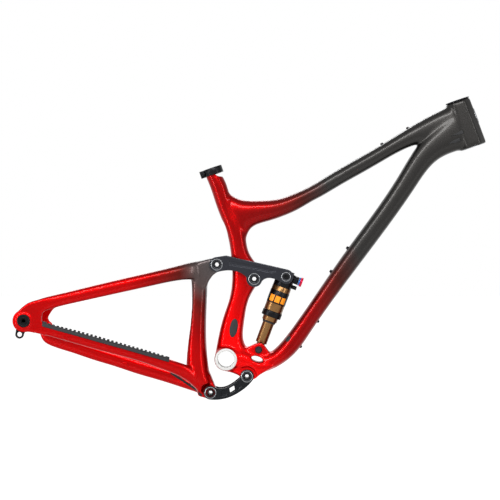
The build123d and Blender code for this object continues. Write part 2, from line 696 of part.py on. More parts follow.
with BuildPart() as rear_triangle:
    add(drive_seatstay)
    add(mirrored(drive_seatstay))
    add(drive_chainstay)
    add(other_chainstay)
    loft(upright_sections)
    # Knuckle at the rocker and knuckle at the lower link
    with BuildSketch(Plane.XZ):
        with Locations(ROCKER_REAR_PIVOT):
            Circle(ROCKER_REAR_EYE_R - 0.5)
        Polygon(
            around(ROCKER_REAR_PIVOT, ROCKER_REAR_EYE_R - 0.5, 100),
            (-48.0, 210.5),
            (-72.0, 204.0),
            (-72.0, 172.0),
            (-42.0, 150.0),
            (-37.5, 165.0),
            (-29.5, 176.0),
            around(ROCKER_REAR_PIVOT, ROCKER_REAR_EYE_R - 0.5, -75),
            align=None,
        )
        with Locations(LOWER_REAR_PIVOT):
            Circle(LOWER_EYE_R)
        Polygon(
            around(LOWER_REAR_PIVOT, LOWER_EYE_R, 40),
            (-34.0, -30.0),
            (-66.0, -34.0),
            (-60.0, -78.0),
            around(LOWER_REAR_PIVOT, LOWER_EYE_R, -100),
            align=None,
        )
    extrude(amount=BOSS_HALF, both=True)
    # Dropouts, the drive side with a raised ring round the axle
    for side in (-1, 1):
        with BuildSketch(Plane.XZ.offset(side * HUB_WIDTH / 2)):
            Polygon(*dropout_corners, align=None)
            with Locations(REAR_AXLE):
                Circle(24)
        extrude(amount=side * DROPOUT_THICK)
    with BuildSketch(Plane.XZ.offset(HUB_WIDTH / 2 + DROPOUT_THICK)):
        with Locations(REAR_AXLE):
            Circle(HANGER_NUT_R + 2.6)
    extrude(amount=RING_RISE)
    # Brake mount at the other side's dropout
    with BuildSketch(Plane.XZ.offset(-HUB_WIDTH / 2)):
        Polygon(
            shifted(REAR_AXLE, 58, 30),
            shifted(REAR_AXLE, 47, 18),
            shifted(REAR_AXLE, 38.5, 4.5),
            shifted(REAR_AXLE, 34, -10),
            shifted(REAR_AXLE, 22, -10),
            shifted(REAR_AXLE, 22, 30),
            align=None,
        )
    extrude(amount=-DROPOUT_THICK)
    # Room for the tyre
    with Locations(Location((REAR_AXLE[0], 0, REAR_AXLE[1]), (90, 0, 0))):
        Torus(TYRE_R - TYRE_SECTION_R, TYRE_SECTION_R, mode=Mode.SUBTRACT)
    # Slot that lets the seat tube pass between the arms
    with BuildSketch(Plane.XZ):
        with Locations(shifted(ROCKER_REAR_PIVOT, -SEAT_TUBE_SLOT, 0)):
            Rectangle(60, 90, align=(Align.MIN, Align.CENTER))
    extrude(amount=ARM_INNER, both=True, mode=Mode.SUBTRACT)
    # Pockets for the eyes of both links
    for side in (-1, 1):
        with BuildSketch(Plane.XZ.offset(side * BOSS_HALF)):
            with Locations(ROCKER_REAR_PIVOT):
                Circle(24)
            with Locations(LOWER_REAR_PIVOT):
                Circle(18.5)
            Polygon((-32, -45), (60, -10), (60, -120), (-40, -120), align=None)
        extrude(amount=side * 40, mode=Mode.SUBTRACT)
    # Bores
    with BuildSketch(Plane.XZ):
        with Locations(ROCKER_REAR_PIVOT, LOWER_REAR_PIVOT):
            Circle(AXLE_R + SEAT_FIT)
        with Locations(REAR_AXLE):
            Circle(THRU_AXLE_R + SEAT_FIT)
    extrude(amount=HUB_WIDTH, both=True, mode=Mode.SUBTRACT)
    # Seat of the hanger on the inside of the drive dropout, and of its nut
    with BuildSketch(Plane.XZ.offset(HUB_WIDTH / 2 - 1)):
        add(hanger_outline(SEAT_FIT))
    extrude(amount=HANGER_THICK + 1 + SEAT_FIT, mode=Mode.SUBTRACT)
    with BuildSketch(Plane.XZ.offset(HUB_WIDTH / 2)):
        with Locations(REAR_AXLE):
            Circle(HANGER_NUT_R + SEAT_FIT)
    extrude(amount=DROPOUT_THICK + RING_RISE, mode=Mode.SUBTRACT)
finish(rear_triangle.part, "rear_triangle")

with BuildPart() as rocker_rear_axles:
    add(hollow_axle(ROCKER_REAR_PIVOT, AXLE_R, LINK_OUTER + 0.6))
    with BuildSketch(Plane.XZ):
        with Locations(ROCKER_REAR_PIVOT):
            Circle(AXLE_R + 1)
    extrude(amount=ARM_INNER, both=True, mode=Mode.SUBTRACT)
finish(rocker_rear_axles.part, "rocker_rear_axles")

with BuildPart() as lower_rear_axle:
    add(hollow_axle(LOWER_REAR_PIVOT, AXLE_R, LINK_OUTER + 0.6))
finish(lower_rear_axle.part, "lower_rear_axle")

with BuildPart() as rear_thru_axle:
    with BuildSketch(Plane.XZ.offset(HUB_WIDTH / 2 + DROPOUT_THICK)):
        with Locations(REAR_AXLE):
            Circle(THRU_AXLE_R)
            Circle(THRU_AXLE_R - 2, mode=Mode.SUBTRACT)
    extrude(amount=-HUB_WIDTH - 2 * DROPOUT_THICK - SEAT_FIT)
    with BuildSketch(Plane.XZ.offset(-HUB_WIDTH / 2 - DROPOUT_THICK - SEAT_FIT)):
        with Locations(REAR_AXLE):
            Circle(THRU_AXLE_R + 4)
            RegularPolygon(3.4, 6, mode=Mode.SUBTRACT)
    extrude(amount=-4)
finish(rear_thru_axle.part, "rear_thru_axle")

with BuildPart() as derailleur_hanger:
    with BuildSketch(Plane.XZ.offset(HUB_WIDTH / 2)):
        add(hanger_outline(0))
        with Locations(shifted(REAR_AXLE, *HANGER_OFFSET)):
            Circle(HANGER_HOLE_R, mode=Mode.SUBTRACT)
        with Locations(REAR_AXLE):
            Circle(THRU_AXLE_R + SEAT_FIT, mode=Mode.SUBTRACT)
    extrude(amount=HANGER_THICK)
finish(derailleur_hanger.part, "derailleur_hanger")

with BuildPart() as hanger_nut:
    nut_start = HUB_WIDTH / 2 + HANGER_THICK + SEAT_FIT
    with BuildSketch(Plane.XZ.offset(nut_start)):
        with Locations(REAR_AXLE):
            Circle(HANGER_NUT_R)
            Circle(THRU_AXLE_R + SEAT_FIT, mode=Mode.SUBTRACT)
    extrude(amount=HUB_WIDTH / 2 + DROPOUT_THICK + RING_RISE - nut_start)
    with BuildSketch(Plane.XZ.offset(HUB_WIDTH / 2 + DROPOUT_THICK + RING_RISE)):
        with Locations(REAR_AXLE):
            Circle(HANGER_NUT_R - 3)
            Circle(THRU_AXLE_R + 1.5, mode=Mode.SUBTRACT)
    extrude(amount=-1.2, mode=Mode.SUBTRACT)
finish(hanger_nut.part, "hanger_nut")

with BuildPart() as chainstay_guard:
    guard_stations = [
        (shifted(top, -0.6, 2 + RIB_HEIGHT), shifted(bottom, 0.6, -2.2), y, thick + 4.4)
        for top, bottom, y, thick in drive_chainstay_stations
    ]
    add(stay(guard_stations, -1))
    with BuildSketch(Plane.XZ):
        Polygon(*guard_outline, align=None)
    extrude(amount=100, mode=Mode.INTERSECT)
    add(rear_triangle.part, mode=Mode.SUBTRACT)
    # Gaps between the ribs
    guard_run = Vector(*guard_front_top) - Vector(*guard_rear_top)
    guard_tilt = degrees(atan2(guard_run.Y, guard_run.X))
    with BuildSketch(Plane.XZ):
        with Locations(Location(middle_of_guard, guard_tilt)):
            with GridLocations(RIB_PITCH, 1, RIB_COUNT, 1):
                Rectangle(RIB_GAP, 2 * RIB_HEIGHT)
    extrude(amount=100, mode=Mode.SUBTRACT)
finish(chainstay_guard.part, "chainstay_guard")


# ---- Shock ----
def shock_plane(height):
    """A plane across the shock at a height above the lower eye."""
    return tilted_plane(SHOCK_LOWER_PIVOT, SHOCK_TILT, height)


def shock_ring(start, end, outer, inner):
    """A ring round the shock's axis."""
    with BuildPart() as ring:
        with BuildSketch(shock_plane(start)):
            Circle(outer)
            if inner:
                Circle(inner, mode=Mode.SUBTRACT)
        extrude(amount=end - start)
    return ring.part


CAN_BORE_R = SHOCK_CAN_R - 3.3

with BuildPart() as air_can:
    add(shock_ring(CAN_START, HEAD_START, SHOCK_CAN_R, CAN_BORE_R))
finish(air_can.part, "air_can")

with BuildPart() as air_can_band:
    add(shock_ring(BAND_START, BAND_END, SHOCK_CAN_R + 0.5, SHOCK_CAN_R + SEAT_FIT))
finish(air_can_band.part, "air_can_band")

with BuildPart() as lower_can_ring:
    add(shock_ring(RING_START, CAN_START, SHOCK_CAN_R + 1.1, CAN_BORE_R))
    chamfer(lower_can_ring.edges().filter_by(GeomType.CIRCLE).sort_by(SortBy.RADIUS)[-2:], 0.8)
finish(lower_can_ring.part, "lower_can_ring")

with BuildPart() as seal_collar:
    add(shock_ring(COLLAR_START, RING_START, SHOCK_SHAFT_R + 4, SHOCK_SHAFT_R + RUNNING_FIT))
    add(shock_ring(RING_START, RING_START + 6, CAN_BORE_R - SEAT_FIT, SHOCK_SHAFT_R + RUNNING_FIT))
finish(seal_collar.part, "seal_collar")

with BuildPart() as shaft_wiper:
    add(shock_ring(WIPER_START, COLLAR_START, SHOCK_SHAFT_R + 1.5, SHOCK_SHAFT_R + RUNNING_FIT))
finish(shaft_wiper.part, "shaft_wiper")

with BuildPart() as shock_shaft:
    add(shock_ring(SHAFT_START, RING_START + 10, SHOCK_SHAFT_R, 0))
    add(shock_ring(RING_START + 10, RING_START + 10 + PISTON_LENGTH, CAN_BORE_R - RUNNING_FIT, 0))
finish(shock_shaft.part, "shock_shaft")

with BuildPart() as shock_lower_eye:
    with BuildSketch(Plane.XZ):
        with Locations(SHOCK_LOWER_PIVOT):
            Circle(SHOCK_EYE_R)
    extrude(amount=SHOCK_EYE_WIDTH / 2, both=True)
    with BuildSketch(shock_plane(0)):
        Circle(9.0)
    extrude(amount=SHAFT_START)
    with BuildSketch(Plane.XZ):
        with Locations(SHOCK_LOWER_PIVOT):
            Circle(8.0)
    extrude(amount=SHOCK_EYE_WIDTH, both=True, mode=Mode.SUBTRACT)
finish(shock_lower_eye.part, "shock_lower_eye")

with BuildPart() as shock_eye_bushing:
    with BuildSketch(Plane.XZ):
        with Locations(SHOCK_LOWER_PIVOT):
            Circle(8.0 - SEAT_FIT)
            Circle(SHOCK_BOLT_R + OPEN_PIVOT_GAP, mode=Mode.SUBTRACT)
    extrude(amount=SHOCK_EYE_WIDTH / 2, both=True)
finish(shock_eye_bushing.part, "shock_eye_bushing")

control_dir = SHOCK_TILT - 90
with BuildPart() as shock_head:
    add(shock_ring(HEAD_START, SHOCK_LENGTH + HEAD_CAP - 4, SHOCK_CAN_R - 0.4, 0))
    add(shock_ring(SHOCK_LENGTH + HEAD_CAP - 4, SHOCK_LENGTH + HEAD_CAP, SHOCK_CAN_R - 5, 0))
    with BuildSketch(Plane.XZ):
        with Locations(SHOCK_TOP_PIVOT):
            Circle(12.5)
    extrude(amount=BOSS_HALF, both=True)
    with BuildSketch(tilted_plane(SHOCK_TOP_PIVOT, control_dir)):
        Circle(8.5)
    extrude(amount=28.5)
    with BuildSketch(Plane.XZ):
        with Locations(SHOCK_TOP_PIVOT):
            Circle(TRUNNION_R + SEAT_FIT)
    extrude(amount=BOSS_HALF + 1, both=True, mode=Mode.SUBTRACT)
finish(shock_head.part, "shock_head")

with BuildPart() as trunnion_bolts:
    with BuildSketch(Plane.XZ.offset(14)):
        with Locations(SHOCK_TOP_PIVOT):
            Circle(TRUNNION_R)
    extrude(amount=LINK_OUTER + 0.6 - 14)
    with BuildSketch(Plane.XZ.offset(LINK_OUTER + 0.6)):
        with Locations(SHOCK_TOP_PIVOT):
            RegularPolygon(3.4, 6)
    extrude(amount=-5, mode=Mode.SUBTRACT)
    mirror(about=Plane.XZ)
finish(trunnion_bolts.part, "trunnion_bolts")

with BuildPart() as compression_lever:
    with BuildSketch(tilted_plane(SHOCK_TOP_PIVOT, control_dir, 29)):
        Circle(9)
        with Locations((-10, 0)):
            SlotOverall(16, 6)
    extrude(amount=3)
finish(compression_lever.part, "compression_lever")

with BuildPart() as rebound_knob:
    with BuildSketch(tilted_plane(SHOCK_TOP_PIVOT, control_dir, 32.4)):
        Circle(10)
        with PolarLocations(10, 12):
            Circle(1.1, mode=Mode.SUBTRACT)
    extrude(amount=5)
finish(rebound_knob.part, "rebound_knob")

with BuildPart() as air_valve_cap:
    valve_point = around(SHOCK_TOP_PIVOT, 16, control_dir - 90)
    with BuildSketch(tilted_plane(valve_point, control_dir, SHOCK_CAN_R - 0.3)):
        Circle(4.2)
    extrude(amount=10)
finish(air_valve_cap.part, "air_valve_cap")
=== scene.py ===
import math

import bmesh
import bpy
import numpy
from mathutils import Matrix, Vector
from mathutils.bvhtree import BVHTree


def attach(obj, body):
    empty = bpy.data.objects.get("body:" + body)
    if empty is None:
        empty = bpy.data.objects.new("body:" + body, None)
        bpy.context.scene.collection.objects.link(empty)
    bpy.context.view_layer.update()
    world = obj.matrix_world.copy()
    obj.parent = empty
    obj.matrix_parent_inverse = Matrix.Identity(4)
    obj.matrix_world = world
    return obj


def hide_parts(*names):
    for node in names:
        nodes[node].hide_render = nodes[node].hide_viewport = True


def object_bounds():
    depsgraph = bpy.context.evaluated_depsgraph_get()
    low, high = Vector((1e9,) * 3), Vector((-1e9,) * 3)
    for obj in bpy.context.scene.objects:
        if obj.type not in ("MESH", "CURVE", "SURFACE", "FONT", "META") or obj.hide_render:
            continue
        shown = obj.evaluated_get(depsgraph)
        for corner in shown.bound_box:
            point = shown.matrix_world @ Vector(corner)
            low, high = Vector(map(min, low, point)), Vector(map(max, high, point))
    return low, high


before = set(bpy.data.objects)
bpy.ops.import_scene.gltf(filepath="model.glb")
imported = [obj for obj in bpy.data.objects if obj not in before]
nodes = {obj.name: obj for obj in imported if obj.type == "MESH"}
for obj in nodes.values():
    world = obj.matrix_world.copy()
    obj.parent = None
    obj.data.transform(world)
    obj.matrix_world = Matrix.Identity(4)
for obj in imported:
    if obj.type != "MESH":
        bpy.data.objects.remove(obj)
cad_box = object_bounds()

# ---- Places of the CAD model in the bike's side view, (x, z) in metres ----
BOTTOM_BRACKET = (0, 0)
ROCKER = (0.060, 0.1707)
ROCKER_REAR = (-0.0194, 0.2012)
SHOCK_TOP = (0.1273, 0.1754)
SHOCK_LOWER = (0.0692, 0.0203)
LOWER_LINK = (0.0445, -0.0359)
LOWER_REAR = (-0.0328, -0.0704)
REAR_AXLE = (-0.424, 0.083)
HEAD_BOTTOM = Vector((0.5269, 0, 0.4514))
SEAT_CLAMP = Vector((-0.0277, 0, 0.400))
SHOCK_FOOT = Vector((SHOCK_LOWER[0], 0, SHOCK_LOWER[1]))

# ---- Directions; the seat tube's upper part is parallel to the head tube ----
ACROSS = Vector((0, 1, 0))
HEAD_AXIS = Vector((-math.cos(math.radians(71)), 0, math.sin(math.radians(71))))
SHOCK_AXIS = Vector((SHOCK_TOP[0] - SHOCK_LOWER[0], 0, SHOCK_TOP[1] - SHOCK_LOWER[1])).normalized()

# ---- Sizes of the CAD model's holes and bosses, in metres ----
SEATPOST_R = 0.0158
SEAT_BORE_FROM = -0.1815
SEAT_BORE_TO = 0.0085
HEAD_LENGTH = 0.103
HEADSET_LOWER_R = 0.0255
HEADSET_UPPER_R = 0.0220
HEADSET_DEPTH = 0.012
STEERER_ROOM_R = 0.0190
SHELL_BORE_R = 0.02345
SHELL_HALF = 0.0365
AXLE_R = 0.00755
BOSS_HALF = 0.0269
LINK_OUTER = 0.0363
LINK_POCKET_R = 0.0196
LINK_POCKET_END = 0.06
THRU_AXLE_R = 0.0062
DROPOUT_PAST = 0.10
HANGER_NUT_R = 0.01325
HANGER_NUT_FROM = 0.080
SHOCK_EYE_ROOM = 0.0150
SHOCK_EYE_HALF = 0.0131
SHOCK_EYE_RISES = (0.0, 0.006, 0.012, 0.018)
BAND_R = 0.0208
PAST = 0.004  # how far a cutter goes beyond its bore, at both ends


# ---- Shader helpers ----
def new_material(name, color, roughness, metallic=0.0, coat=0.0, coat_roughness=0.06, specular=0.5):
    """A principled material; returns the material, its tree and its shader."""
    material = bpy.data.materials.new(name)
    material.use_nodes = True
    tree = material.node_tree
    shader = tree.nodes["Principled BSDF"]
    shader.inputs["Base Color"].default_value = (*color, 1.0)
    shader.inputs["Roughness"].default_value = roughness
    shader.inputs["Metallic"].default_value = metallic
    shader.inputs["Coat Weight"].default_value = coat
    shader.inputs["Coat Roughness"].default_value = coat_roughness
    shader.inputs["Specular IOR Level"].default_value = specular
    return material, tree, shader


def add_node(tree, kind, **settings):
    """A new node; settings name its attributes, or its inputs by their names."""
    node = tree.nodes.new(kind)
    for key, value in settings.items():
        if hasattr(node, key):
            setattr(node, key, value)
        else:
            node.inputs[key.replace("_", " ")].default_value = value
    return node


def own_coordinates(tree):
    """The coordinates of the piece itself, so that a pattern moves with it."""
    return add_node(tree, "ShaderNodeTexCoord").outputs["Object"]


def own_noise(tree, scale, stretch=None, **settings):
    """Noise in the piece's own coordinates, stretched if asked."""
    place = own_coordinates(tree)
    if stretch:
        mapping = add_node(tree, "ShaderNodeMapping", Scale=stretch)
        tree.links.new(place, mapping.inputs["Vector"])
        place = mapping.outputs["Vector"]
    noise = add_node(tree, "ShaderNodeTexNoise", Scale=scale, **settings)
    tree.links.new(place, noise.inputs["Vector"])
    return noise.outputs["Fac"]


def remap(tree, value, low, high, start=0.0, end=1.0):
    """A value output's range from start to end, mapped to low to high."""
    spread = add_node(tree, "ShaderNodeMapRange", clamp=True,
                      From_Min=start, From_Max=end, To_Min=low, To_Max=high)
    tree.links.new(value, spread.inputs["Value"])
    return spread.outputs["Result"]


def ramp(tree, factor, stops):
    """A colour ramp over factor; stops are (place, colour)."""
    node = add_node(tree, "ShaderNodeValToRGB")
    elements = node.color_ramp.elements
    while len(elements) > 1:
        elements.remove(elements[-1])
    elements[0].position = stops[0][0]
    elements[0].color = (*stops[0][1], 1.0)
    for place, color in stops[1:]:
        element = elements.new(place)
        element.color = (*color, 1.0)
    tree.links.new(factor, node.inputs["Fac"])
    return node.outputs["Color"]


def vary(tree, shader, color, amount, scale, stretch=(1, 1, 1)):
    """Slight lightness changes over a colour output or a plain colour."""
    noise = own_noise(tree, scale, stretch, Detail=4.0, Roughness=0.6)
    lightness = remap(tree, noise, 1 - amount, 1 + amount)
    mix = add_node(tree, "ShaderNodeMix", data_type="RGBA", blend_type="MULTIPLY", Factor=1.0)
    first, second = [s for s in mix.inputs if s.type == "RGBA"]
    if isinstance(color, tuple):
        first.default_value = (*color, 1.0)
    else:
        tree.links.new(color, first)
    tree.links.new(lightness, second)
    mixed = next(s for s in mix.outputs if s.type == "RGBA")
    tree.links.new(mixed, shader.inputs["Base Color"])


def roughen(tree, shader, low, high, scale):
    """Roughness that wanders between low and high."""
    noise = own_noise(tree, scale, Detail=3.0)
    tree.links.new(remap(tree, noise, low, high), shader.inputs["Roughness"])


def grain(tree, shader, scale, depth, stretch=(1, 1, 1)):
    """A fine bump."""
    noise = own_noise(tree, scale, stretch, Detail=3.0)
    bump = add_node(tree, "ShaderNodeBump", Strength=0.25, Distance=depth)
    tree.links.new(noise, bump.inputs["Height"])
    tree.links.new(bump.outputs["Normal"], shader.inputs["Normal"])


# ---- The two faded paints ----
BRIGHT_RED = (0.56, 0.0004, 0.0007)
FULL_RED = (0.34, 0.0004, 0.0006)
DEEP_RED = (0.20, 0.0004, 0.0006)
WINE = (0.16, 0.002, 0.002)
DARK_WINE = (0.080, 0.006, 0.004)
MAROON = (0.045, 0.008, 0.006)
CHARCOAL = (0.024, 0.023, 0.022)
GREY = (0.060, 0.052, 0.052)
WARM_GREY = (0.060, 0.042, 0.040)


def fade_paint(name, stops, measured, reference, start, reach):
    """Gloss paint whose colour fades along a direction (DOT_PRODUCT) or with the distance from a point."""
    material, tree, shader = new_material(
        name, DEEP_RED, 0.34, metallic=0.80, coat=0.11, coat_roughness=0.08, specular=0.0)
    measure = add_node(tree, "ShaderNodeVectorMath", operation=measured)
    tree.links.new(own_coordinates(tree), measure.inputs[0])
    measure.inputs[1].default_value = reference
    color = ramp(tree, remap(tree, measure.outputs["Value"], 0.0, 1.0, start, reach), stops)
    vary(tree, shader, color, amount=0.05, scale=700.0)
    roughen(tree, shader, low=0.29, high=0.35, scale=40.0)
    grain(tree, shader, scale=1400.0, depth=0.000006)
    return material


FRONT_PAINT = fade_paint(
    "front_paint",
    [(0.0, BRIGHT_RED), (0.12, BRIGHT_RED), (0.38, DEEP_RED), (0.60, WINE), (0.83, MAROON), (1.0, CHARCOAL)],
    "DOT_PRODUCT", (0.911, 0.0, 0.413), start=0.0, reach=0.350,
)
REAR_PAINT = fade_paint(
    "rear_paint",
    [(0.0, GREY), (0.18, WARM_GREY), (0.36, DARK_WINE), (0.68, DEEP_RED), (1.0, FULL_RED)],
    "DISTANCE", (ROCKER_REAR[0], 0.0, ROCKER_REAR[1]), start=0.03, reach=0.205,
)


# ---- Plain materials ----
def plain_material(name, color, roughness, metallic=0.0, coat=0.0, amount=0.12, scale=400.0, bump=0.00006,
                   stretch=(1, 1, 1), spread=0.06):
    """One colour with slight changes of lightness and roughness, and a fine bump."""
    material, tree, shader = new_material(name, color, roughness, metallic, coat, specular=0.2)
    vary(tree, shader, color, amount, scale, stretch)
    roughen(tree, shader, roughness - spread, roughness + spread, scale / 4)
    grain(tree, shader, scale * 3, bump, stretch)
    return material


TURNED = (1, 8, 1)
LINK = plain_material("link_carbon", (0.019, 0.020, 0.025), 0.34, metallic=0.8, coat=0.12, scale=700)
LOWER = plain_material("link_black", (0.008, 0.009, 0.011), 0.28, metallic=0.8, coat=0.10)
BLACK = plain_material("black_anodised", (0.008, 0.008, 0.009), 0.32, metallic=0.8)
STEEL = plain_material("bearing_steel", (0.34, 0.35, 0.36), 0.30, metallic=0.9, stretch=TURNED)
SILVER = plain_material("sleeve_silver", (0.50, 0.495, 0.485), 0.42, metallic=0.3, amount=0.05,
                        stretch=(1, 10, 1))
BRONZE = plain_material("can_bronze", (0.155, 0.080, 0.030), 0.27, metallic=0.9, amount=0.05, scale=150,
                        spread=0.03, bump=0.00001)
DARK_STEEL = plain_material("dark_steel", (0.028, 0.029, 0.033), 0.30, metallic=0.8, stretch=TURNED)
ORANGE = plain_material("band_orange", (0.85, 0.27, 0.01), 0.45, amount=0.06)
PLATE = plain_material("badge_plate", (0.23, 0.235, 0.245), 0.35, metallic=0.7, amount=0.08)
RUBBER = plain_material("rubber", (0.018, 0.018, 0.019), 0.75, scale=250, bump=0.00015)
PLASTIC = plain_material("black_plastic", (0.016, 0.016, 0.017), 0.5, scale=300, bump=0.0001)
BLUE = plain_material("blue_anodised", (0.03, 0.13, 0.42), 0.3, metallic=0.8)
RED_KNOB = plain_material("red_anodised", (0.5, 0.01, 0.04), 0.3, metallic=0.7)
GUARD = plain_material("chain_guard", (0.020, 0.020, 0.022), 0.65, scale=250, bump=0.00015)

looks = {
    "front_triangle": FRONT_PAINT,
    "rear_triangle": REAR_PAINT,
    "upper_link": LINK,
    "lower_link": LOWER,
    "bottom_bracket_sleeve": SILVER,
    "headset_seats": STEEL,
    "upper_link_bearings": DARK_STEEL,
    "lower_link_bearings": DARK_STEEL,
    "shock_eye_bushing": STEEL,
    "air_can": BRONZE,
    "seal_collar": BRONZE,
    "shock_shaft": BRONZE,
    "shock_lower_eye": BRONZE,
    "shaft_wiper": RUBBER,
    "chainstay_guard": GUARD,
    "compression_lever": BLUE,
    "rebound_knob": RED_KNOB,
}
for name, piece in nodes.items():
    piece.data.materials.clear()
    piece.data.materials.append(looks.get(name, BLACK))


# ---- Mesh helpers ----
PIECE_CREASE = 40  # degrees, above which an edge stays crisp
FRAME_CREASE = 62


def placed(name, data):
    """A new object of the scene."""
    piece = bpy.data.objects.new(name, data)
    bpy.context.scene.collection.objects.link(piece)
    return piece


def closed_mesh(name, vertices, faces):
    """A mesh whose faces all look outwards."""
    mesh = bpy.data.meshes.new(name)
    mesh.from_pydata([tuple(v) for v in vertices], [], faces)
    mesh.validate()
    form = bmesh.new()
    form.from_mesh(mesh)
    bmesh.ops.recalc_face_normals(form, faces=form.faces)
    form.to_mesh(mesh)
    form.free()
    return mesh


def smooth_below(mesh, degrees):
    """Smooth shading, with edges sharper than the angle left crisp."""
    form = bmesh.new()
    form.from_mesh(mesh)
    limit = math.radians(degrees)
    for face in form.faces:
        face.smooth = True
    for edge in form.edges:
        edge.smooth = len(edge.link_faces) == 2 and edge.calc_face_angle(0.0) < limit
    form.to_mesh(mesh)
    form.free()


def new_piece(name, vertices, faces, look, body):
    """A mesh piece that rides on a body."""
    mesh = closed_mesh(name, vertices, faces)
    mesh.materials.append(look)
    piece = placed(name, mesh)
    smooth_below(mesh, PIECE_CREASE)
    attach(piece, body)
    return piece


def quads_between(rings, count):
    """Quads that join each ring of count vertices to the next one."""
    return [(ring * count + step, ring * count + (step + 1) % count,
             (ring + 1) * count + (step + 1) % count, (ring + 1) * count + step)
            for ring in range(rings - 1) for step in range(count)]


def turned(centre, axis, profile, segments):
    """Vertices and faces of a turned form, open at both ends; the profile is (radius, height) in metres."""
    axis = Vector(axis).normalized()
    across = axis.orthogonal().normalized()
    other = axis.cross(across)
    centre = Vector(centre)
    vertices = []
    for radius, height in profile:
        for step in range(segments):
            angle = 2 * math.pi * step / segments
            outward = across * math.cos(angle) + other * math.sin(angle)
            vertices.append(centre + axis * height + outward * radius)
    return vertices, quads_between(len(profile), segments)


def capped(centre, axis, profile, segments=40):
    """A turned form with flat caps at its first and last ring."""
    vertices, faces = turned(centre, axis, profile, segments)
    faces.append(tuple(range(segments)))
    faces.append(tuple(range(len(vertices) - segments, len(vertices))))
    return vertices, faces


def looped(centre, axis, profile, segments=48):
    """A turned ring whose profile closes on itself."""
    return turned(centre, axis, profile + profile[:1], segments)


# ---- Moulded carbon bodies: the CAD form with its joins blended ----
FRAME_VOXEL = 0.0013
LINK_VOXEL = 0.0007


def cylinder_mesh(name, forms):
    """One mesh of separate capped cylinders, given as (centre, axis, radius, from, to)."""
    vertices = []
    faces = []
    for centre, axis, radius, start, end in forms:
        points, sides = capped(centre, axis, [(radius, start), (radius, end)], segments=64)
        offset = len(vertices)
        vertices += points
        faces += [tuple(index + offset for index in face) for face in sides]
    return closed_mesh(name, vertices, faces)


def shaped(mesh, name, kind, **settings):
    """The mesh with one modifier applied."""
    piece = placed(name, mesh)
    modifier = piece.modifiers.new(kind.lower(), kind)
    for key, value in settings.items():
        setattr(modifier, key, value)
    evaluated = piece.evaluated_get(bpy.context.evaluated_depsgraph_get())
    result = bpy.data.meshes.new_from_object(evaluated)
    bpy.data.objects.remove(piece)
    return result


def near(points, places):
    """How near each point lies to any of the places in the bike's side view, from 0 to 1."""
    weight = numpy.zeros(len(points))
    for centre, reach in places:
        away = (points[:, 0] - centre[0]) ** 2 + (points[:, 2] - centre[1]) ** 2
        weight = numpy.maximum(weight, numpy.exp(-away / reach ** 2))
    return weight


def relax(mesh, passes, blends, crisp):
    """Moves vertices towards their neighbours: everywhere, then not where crisp, then only at the blends."""
    count = len(mesh.vertices)
    points = numpy.empty(count * 3)
    mesh.vertices.foreach_get("co", points)
    points = points.reshape(count, 3)
    edges = numpy.empty(len(mesh.edges) * 2, dtype=numpy.int64)
    mesh.edges.foreach_get("vertices", edges)
    edges = edges.reshape(-1, 2)
    ends = numpy.concatenate([edges[:, 0], edges[:, 1]])
    others = numpy.concatenate([edges[:, 1], edges[:, 0]])
    degree = numpy.maximum(numpy.bincount(ends, minlength=count), 1)
    first, second, last = passes
    soft = 0.5 * (1 - near(points, crisp))
    blended = 0.5 * near(points, blends)
    for step in range(last):
        share = 0.5 if step < first else soft if step < second else blended
        for column in range(3):
            mean = numpy.bincount(ends, weights=points[others, column], minlength=count) / degree
            points[:, column] += share * (mean - points[:, column])
    mesh.vertices.foreach_set("co", points.reshape(-1))
    mesh.update()


def moulded(name, body, bores, pockets, blends, crisp, passes):
    """Stands for a CAD node: bores filled, form remeshed and blended, then all bores and pockets cut."""
    source = nodes[name].data.copy()
    plugs = cylinder_mesh(name + "_plugs", bores)
    form = bmesh.new()
    form.from_mesh(source)
    form.from_mesh(plugs)
    form.to_mesh(source)
    form.free()
    mesh = shaped(source, name + "_filled", "REMESH", mode="VOXEL", voxel_size=FRAME_VOXEL)
    relax(mesh, passes, blends, crisp)
    holes = [(centre, axis, radius, start - PAST, end + PAST) for centre, axis, radius, start, end in bores]
    for index, hole in enumerate(holes + pockets):
        cutter_name = f"{name}_cutter_{index}"
        cutter = placed(cutter_name, cylinder_mesh(cutter_name, [hole]))
        mesh = shaped(mesh, name + "_cut", "BOOLEAN",
                      operation="DIFFERENCE", object=cutter, solver="MANIFOLD")
        bpy.data.objects.remove(cutter)
    smooth_below(mesh, FRAME_CREASE)
    piece = placed(name + "_moulded", mesh)
    mesh.materials.clear()
    mesh.materials.append(looks[name])
    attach(piece, body)
    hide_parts(name)
    return piece


def hole_across(place, radius, start, end):
    """A hole across the bike at a place (x, z)."""
    return ((place[0], 0, place[1]), ACROSS, radius, start, end)


